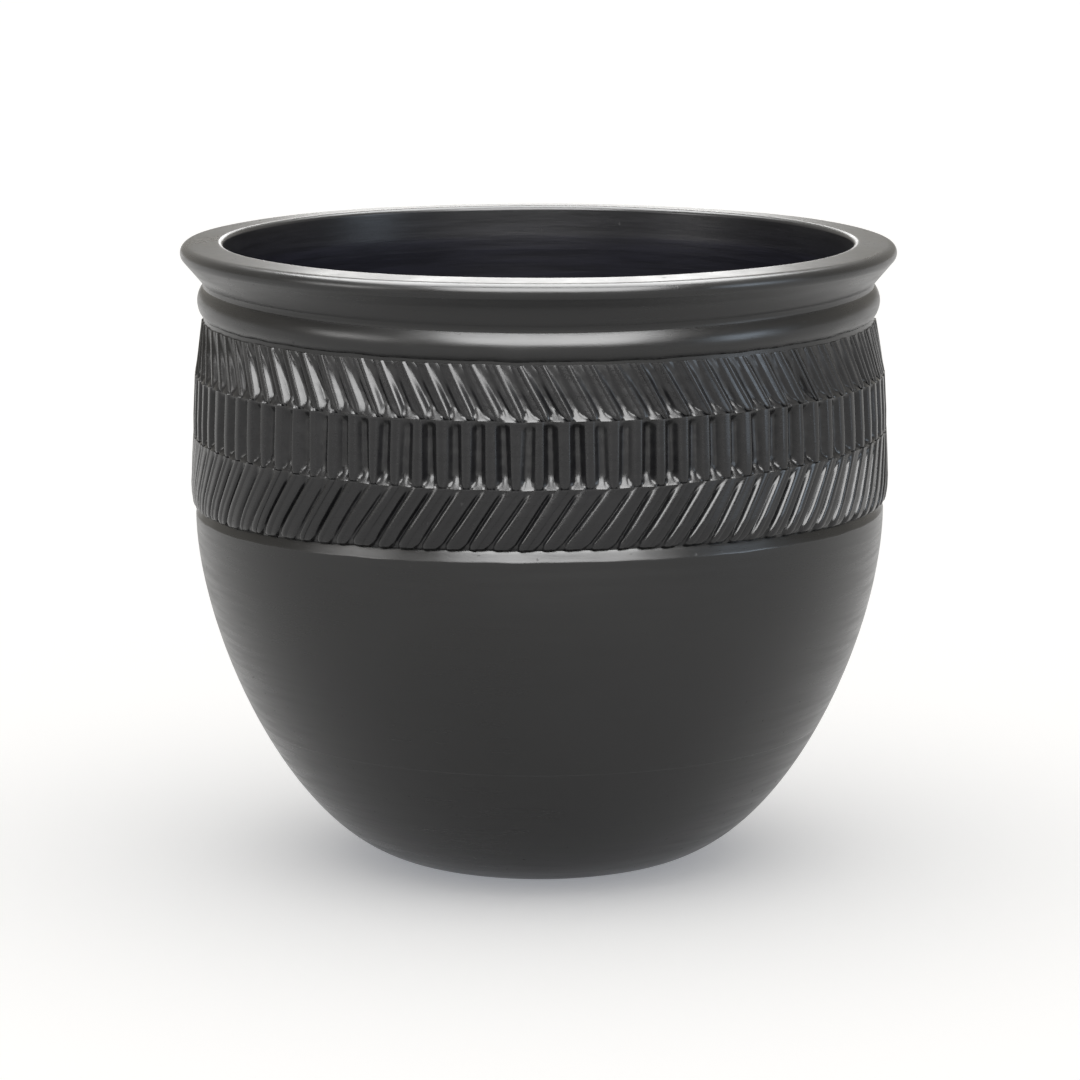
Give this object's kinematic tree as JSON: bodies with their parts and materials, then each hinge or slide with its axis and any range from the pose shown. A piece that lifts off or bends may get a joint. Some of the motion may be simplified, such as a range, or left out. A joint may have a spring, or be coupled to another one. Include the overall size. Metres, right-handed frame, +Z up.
{
  "type": "black clay pot",
  "caption": "Burnished black clay pot with a wide flared lip, a neck bead, a chip-carved herringbone band and a smooth bowl on a flat base.",
  "frame": {"origin": "middle of the flat underside that the pot stands on", "axes": "+Z up along the pot's axis of revolution; -Y is the side seen from the front; +X to the right seen from the front"},
  "size_m": [0.3188, 0.3188, 0.278],
  "materials": {
    "burnished_clay": "burnished satin black",
    "carved_clay": "carved satin black"
  },
  "bodies": {
    "root": {"base_disc": "burnished_clay", "lower_bowl_wall": "burnished_clay", "upper_bowl_wall": "burnished_clay", "band_wall": "burnished_clay", "lower_carved_strip": "carved_clay", "middle_carved_strip": "carved_clay", "upper_carved_strip": "carved_clay", "neck_wall": "burnished_clay", "neck_bead": "burnished_clay", "rim_lip": "burnished_clay"}
  },
  "joints": []
}
